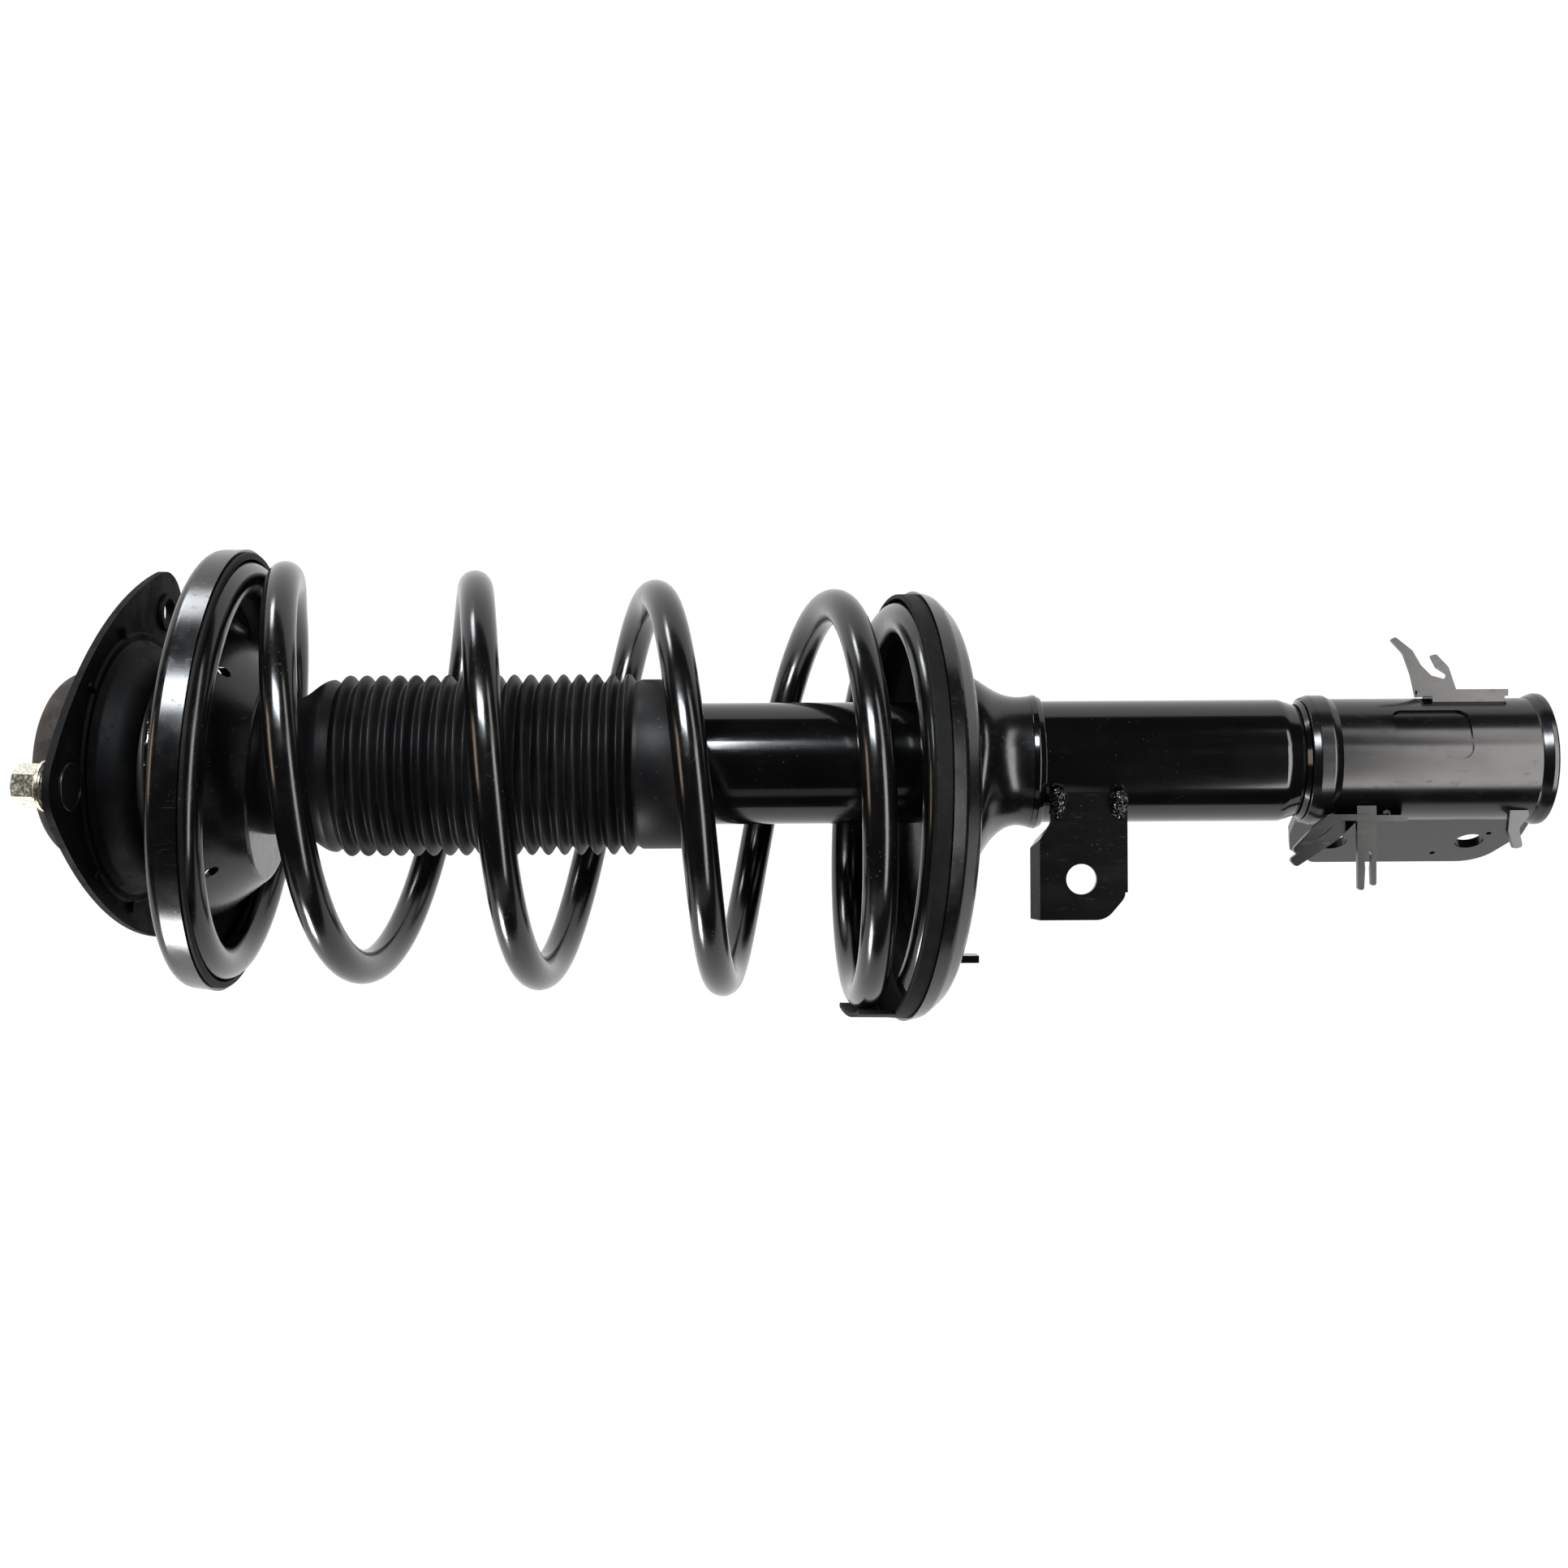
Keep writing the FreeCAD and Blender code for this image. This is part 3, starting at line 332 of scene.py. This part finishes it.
def make_materials():
    """One material for each slot of the record."""
    finishes = {}
    finishes["plate_paint"] = black_paint("plate_black", 0.0016, 0.55, 0.008, 0.4, specular=0.08)

    hat = Finish("hat_phosphate", (0.020, 0.0175, 0.0155), 0.66, specular=0.15)
    hat.tint(hat.remap(hat.noise(7, 5), 0.42, 0.70), (0.036, 0.031, 0.027))
    hat.tint(hat.remap(hat.noise(1.3, 3), 0.58, 0.72), (0.010, 0.009, 0.008))
    hat.tint(hat.remap(hat.noise(14, 4), 0.60, 0.74), (0.040, 0.024, 0.016))
    hat.bump(hat.noise(0.9, 4), 0.05)
    finishes["hat_paint"] = hat

    rubber = Finish("mount_rubber_black", (0.006, 0.006, 0.006), 0.60, specular=0.35, sheen=0.08)
    rubber.tint(rubber.remap(rubber.noise(8, 4), 0.48, 0.75), (0.014, 0.013, 0.012))
    rubber.bump(rubber.noise(0.7, 3), 0.03)
    finishes["mount_rubber"] = rubber.dust(0.7)

    zinc = Finish("zinc_yellowish", (0.50, 0.48, 0.39), 0.28, metallic=1.0)
    zinc.tint(zinc.remap(zinc.noise(3.5, 4), 0.42, 0.66), (0.62, 0.60, 0.50))
    zinc.tint(zinc.remap(zinc.noise(1.6, 3), 0.60, 0.74), (0.26, 0.24, 0.19))
    zinc.roughen(zinc.remap(zinc.noise(1.2, 4), 0.45, 0.70), 0.52)
    zinc.bump(zinc.noise(0.5, 3), 0.012)
    zinc.paint_below(STUD_PAINT_DEPTH, MOUNT_SLOPE, (0.003, 0.003, 0.003), 0.30)
    finishes["zinc"] = zinc

    steel = Finish("damper_steel", (0.48, 0.47, 0.45), 0.34, metallic=1.0)
    steel.tint(steel.remap(steel.noise(6, 5), 0.48, 0.72), (0.30, 0.28, 0.26))
    steel.roughen(steel.remap(steel.noise(0.8, 3, (6, 6, 1)), 0.45, 0.7), 0.50)
    steel.bump(steel.noise(0.5, 2, (8, 8, 1)), 0.008)
    finishes["damper_steel"] = steel

    chrome = Finish("rod_chrome", (0.78, 0.79, 0.80), 0.07, metallic=1.0)
    chrome.roughen(chrome.remap(chrome.noise(0.5, 2, (1, 1, 14)), 0.52, 0.75), 0.14)
    chrome.bump(chrome.noise(0.4, 2, (1, 1, 10)), 0.0012)
    finishes["rod_chrome"] = chrome

    band = Finish("band_ptfe", (0.035, 0.030, 0.026), 0.42)
    band.tint(band.remap(band.noise(2, 3), 0.5, 0.7), (0.060, 0.052, 0.044))
    finishes["band_plastic"] = band

    foam = Finish("bump_foam", (0.55, 0.50, 0.36), 0.85, specular=0.25, sheen=0.1)
    # Darker spots at the pores, where the bump below sinks pits: painted shade in the pores.
    foam.tint(foam.remap(foam.cells(0.9), 0.40, 0.16), (0.33, 0.29, 0.19))
    foam.tint(foam.remap(foam.noise(12, 4), 0.5, 0.75), (0.44, 0.38, 0.25))
    foam.bump(foam.cells(0.9), 0.12)
    finishes["foam"] = foam

    plastic = Finish("bearing_nylon", (0.020, 0.020, 0.021), 0.45)
    plastic.roughen(plastic.remap(plastic.noise(5, 4), 0.45, 0.7), 0.58)
    plastic.bump(plastic.noise(0.35, 2), 0.012)
    finishes["bearing_plastic"] = plastic

    balls = Finish("ball_steel_polished", (0.70, 0.70, 0.69), 0.08, metallic=1.0)
    balls.roughen(balls.remap(balls.noise(1.5, 3), 0.5, 0.75), 0.20)
    finishes["ball_steel"] = balls

    seat = black_paint("seat_black", 0.0012, 0.20, 0.005, 0.45)
    scratches = seat.remap(seat.noise(0.35, 2, (1, 22, 22), 0.4), 0.66, 0.72)
    worn = seat.remap(seat.noise(20, 2), 0.45, 0.6, 0.0, 0.35)
    seat.tint(seat.times(scratches, worn), (0.05, 0.05, 0.05))
    finishes["seat_paint"] = seat

    insulator = Finish("insulator_rubber_black", (0.0028, 0.0028, 0.0028), 0.60, specular=0.10)
    insulator.tint(insulator.remap(insulator.noise(9, 4), 0.48, 0.72), (0.006, 0.0056, 0.0056))
    insulator.bump(insulator.noise(0.6, 3), 0.025)
    finishes["insulator_rubber"] = insulator.dust(1.0, size=2.0)

    boot = Finish("boot_rubber_black", (0.0030, 0.0030, 0.0033), 0.44, specular=0.12)
    boot.tint(boot.remap(boot.noise(11, 4), 0.48, 0.72), (0.006, 0.0058, 0.0056))
    boot.roughen(boot.remap(boot.noise(6, 3), 0.45, 0.75), 0.47)
    boot.bump(boot.noise(0.8, 3), 0.005)
    finishes["boot_rubber"] = boot.dust(0.5)

    finishes["spring_paint"] = black_paint("spring_powder_black", 0.0014, 0.17, 0.005, 0.6)
    finishes["tube_paint"] = black_paint("tube_black", 0.0010, 0.12, 0.004, 0.35, (1, 1, 7))
    finishes["bracket_paint"] = black_paint("bracket_black", 0.0010, 0.20, 0.005, 0.35, (1, 1, 3))
    return {slot: finish.material for slot, finish in finishes.items()}


def node_slots():
    """Which material slot each CAD node takes, from the record."""
    return {part["node"]: part["material_slot"] for part in frame["record"]["subparts"]}


def paint_nodes(materials, slots):
    for name, node in NODES.items():
        node.data.materials.clear()
        node.data.materials.append(materials[slots[name]])


# Pieces

def add_piece(name, points, faces, material):
    """Mesh object from millimetre points, smooth shaded."""
    data = bpy.data.meshes.new(name)
    data.from_pydata([Vector(p) * MM for p in points], [], faces)
    data.polygons.foreach_set("use_smooth", [len(face) == 4 for face in faces])
    data.materials.append(material)
    piece = bpy.data.objects.new(name, data)
    bpy.context.scene.collection.objects.link(piece)
    return piece


def smooth(column, x):
    """Value at x of a smooth curve through one column of WIRE that never overshoots a row."""
    knots = [(row[0], row[column]) for row in WIRE]
    slopes = [(b[1] - a[1]) / (b[0] - a[0]) for a, b in zip(knots, knots[1:])]
    inner = [2 * p * q / (p + q) if p * q > 0 else 0.0 for p, q in zip(slopes, slopes[1:])]
    rates = [slopes[0]] + inner + [slopes[-1]]
    i = max(k for k in range(len(knots) - 1) if knots[k][0] <= x + 1e-9)
    (x0, y0), (x1, y1) = knots[i], knots[i + 1]
    h = x1 - x0
    u = (x - x0) / h
    return (y0 * (1 + 2 * u) * (1 - u) ** 2 + rates[i] * h * u * (1 - u) ** 2
            + y1 * u * u * (3 - 2 * u) + rates[i + 1] * h * u * u * (u - 1))


def wire_point(turns):
    """Point of the wire's centre line."""
    centre_x, centre_y, slope_x, slope_y, depth = (smooth(column, turns) for column in range(1, 6))
    a = -2 * pi * turns
    x = COIL_R * cos(a) / hypot(1, slope_x)
    y = COIL_R * sin(a) / hypot(1, slope_y)
    return Vector((centre_x + x, centre_y + y, LIFT - depth + slope_x * x + slope_y * y))


def make_spring(material):
    """The wire as one swept tube with softly broken edges at its cut ends.

    Each ring of points is given one share, 0 above the upper end depth and 1 below the lower one;
    nothing reads the shares.
    """
    sides, per_turn, chamfer, step = 32, 72, 0.7, 0.002
    first, last = WIRE[0][0], WIRE[-1][0]
    count = int((last - first) * per_turn)
    points, shares = [], []
    for i in range(count + 1):
        turns = first + (last - first) * i / count
        ahead = wire_point(min(turns + step, last)) - wire_point(max(turns - step, first))
        tangent = ahead.normalized()
        centre = wire_point(turns)
        axis = Vector((smooth(1, turns), smooth(2, turns), centre.z))
        out = centre - axis
        out = (out - tangent * out.dot(tangent)).normalized()
        side = tangent.cross(out)
        share = (smooth(5, turns) - UPPER_END_DEPTH) / (LOWER_END_DEPTH - UPPER_END_DEPTH)
        rings = [(centre, WIRE_R)]
        if i == 0:
            rings = [(centre, WIRE_R - chamfer), (centre + tangent * chamfer, WIRE_R)]
        if i == count:
            rings = [(centre - tangent * chamfer, WIRE_R), (centre, WIRE_R - chamfer)]
        for middle, radius in rings:
            for k in range(sides):
                a = 2 * pi * k / sides
                points.append(middle + out * radius * cos(a) + side * radius * sin(a))
                shares.append(min(1.0, max(0.0, share)))
    faces = []
    for i in range(len(points) // sides - 1):
        for k in range(sides):
            a, b = i * sides + k, i * sides + (k + 1) % sides
            faces.append((a, b, b + sides, a + sides))
    end = len(points) - sides
    faces += [tuple(range(sides - 1, -1, -1)), tuple(range(end, end + sides))]
    spring = add_piece("spring_wire", points, faces, material)
    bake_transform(spring)
    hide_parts("coil_spring")


def lathe(name, profile, material, sides):
    """Closed (radius, height) profile turned about Z."""
    points, faces = [], []
    for k in range(sides):
        a = 2 * pi * k / sides
        points += [(r * cos(a), r * sin(a), z + LIFT) for r, z in profile]
    count = len(profile)
    for k in range(sides):
        here, beyond = k * count, (k + 1) % sides * count
        for i in range(count):
            j = (i + 1) % count
            faces.append((here + i, beyond + i, beyond + j, here + j))
    return add_piece(name, points, faces, material)


def boot_outline():
    """Outer side of the bellows from the top down: neck, shoulder, round folds and a plain end."""
    crest, valley, pitch, first, count = 38.0, 34.3, 6.87, -100.5, 18
    neck_end, shoulder, shoulder_r = -79.0, -94.0, 36.2
    end_r, end_top, edge = 35.6, -222.8, 0.9
    shoulder_steps, fold_steps, roundness = 10, 14, 0.85
    outline = [(BOOT_NECK_R - 0.6, BOOT_TOP), (BOOT_NECK_R, BOOT_TOP - 0.8)]
    for i in range(shoulder_steps + 1):
        u = i / shoulder_steps
        radius = BOOT_NECK_R + (shoulder_r - BOOT_NECK_R) * u * u * (3 - 2 * u)
        outline.append((radius, neck_end + (shoulder - neck_end) * u))
    outline.append((valley, first + pitch / 2))
    for fold in range(count):
        for i in range(1, fold_steps + 1):
            u = 2 * i / fold_steps - 1
            swell = (0.5 + 0.5 * cos(pi * u)) ** roundness
            outline.append((valley + (crest - valley) * swell, first - pitch * (fold + u / 2)))
    return outline + [(end_r, end_top), (end_r, BOOT_BOTTOM + edge), (end_r - 0.7, BOOT_BOTTOM)]


def make_boot(material):
    """Dust boot: a bellows turned about the strut's axis and carried by the spring seat."""
    wall, bore_r, bore_top, neck_bottom = 2.2, 32.8, -97.0, -81.5
    neck = BOOT_NECK_R - wall
    bore = [(33.4, BOOT_BOTTOM), (bore_r, BOOT_BOTTOM + 0.7), (bore_r, bore_top),
            (neck, neck_bottom), (neck, BOOT_TOP)]
    boot = lathe("boot_bellows", (bore + boot_outline())[::-1], material, 128)
    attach(boot, "spring_seat")
    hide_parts("dust_boot")
    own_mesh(boot)


def make_bump_stop(material):
    """Foam bump stop with three waists and a rounded lower end."""
    steps, waists, phase, wave_r = 90, 3, 0.4, 2.0
    top_r, taper, widest = 19.6, 1.8, 21.8
    round_from, round_r = 0.93, 5.0
    outline = []
    for i in range(steps + 1):
        u = i / steps
        wave = cos(2 * pi * waists * u + phase)
        radius = top_r - taper * u + wave_r * wave * min(1.0, 12 * u * (1 - u))
        if u > round_from:
            radius -= round_r * ((u - round_from) / (1 - round_from)) ** 2
        outline.append((min(radius, widest), BUMP_TOP - BUMP_LENGTH * u))
    bore_r = ROD_R + ROD_GAP
    bore = [(bore_r, BUMP_TOP - BUMP_LENGTH), (bore_r, BUMP_TOP)]
    stop = lathe("bump_foam", (outline + bore)[::-1], material, 72)
    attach(stop, "top_mount")
    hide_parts("bump_stop")
    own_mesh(stop)


def lumpy(name, node, material):
    """A weld bead: the CAD bead remeshed finely, with large and small lumps."""
    grain, height, sink, large, small = 0.3, 0.7, 0.4, 1.7, 0.7
    source = bpy.data.objects.new(name + "_source", NODES[node].data.copy())
    bpy.context.scene.collection.objects.link(source)
    remesh = source.modifiers.new("fine", "REMESH")
    remesh.mode = "VOXEL"
    remesh.voxel_size = grain * MM
    graph = bpy.context.evaluated_depsgraph_get()
    data = bpy.data.meshes.new_from_object(source.evaluated_get(graph))
    bpy.data.objects.remove(source)
    normals = [vertex.normal.copy() for vertex in data.vertices]
    for vertex, normal in zip(data.vertices, normals):
        lumps = noise.noise(vertex.co / (large * MM)) + 0.5 * noise.noise(vertex.co / (small * MM))
        vertex.co += normal * (lumps * height - sink * height) * MM
    data.polygons.foreach_set("use_smooth", [True] * len(data.polygons))
    data.materials.clear()
    data.materials.append(material)
    bead = bpy.data.objects.new(name, data)
    bpy.context.scene.collection.objects.link(bead)
    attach(bead, "strut_housing")
    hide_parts(node)


make_camera()
make_lamps()
make_stage()
MATERIALS = make_materials()
paint_nodes(MATERIALS, node_slots())
make_spring(MATERIALS["spring_paint"])
make_boot(MATERIALS["boot_rubber"])
make_bump_stop(MATERIALS["foam"])
for bead in ("link_weld_upper", "link_weld_lower"):
    lumpy(bead + "_bead", bead, MATERIALS["tube_paint"])
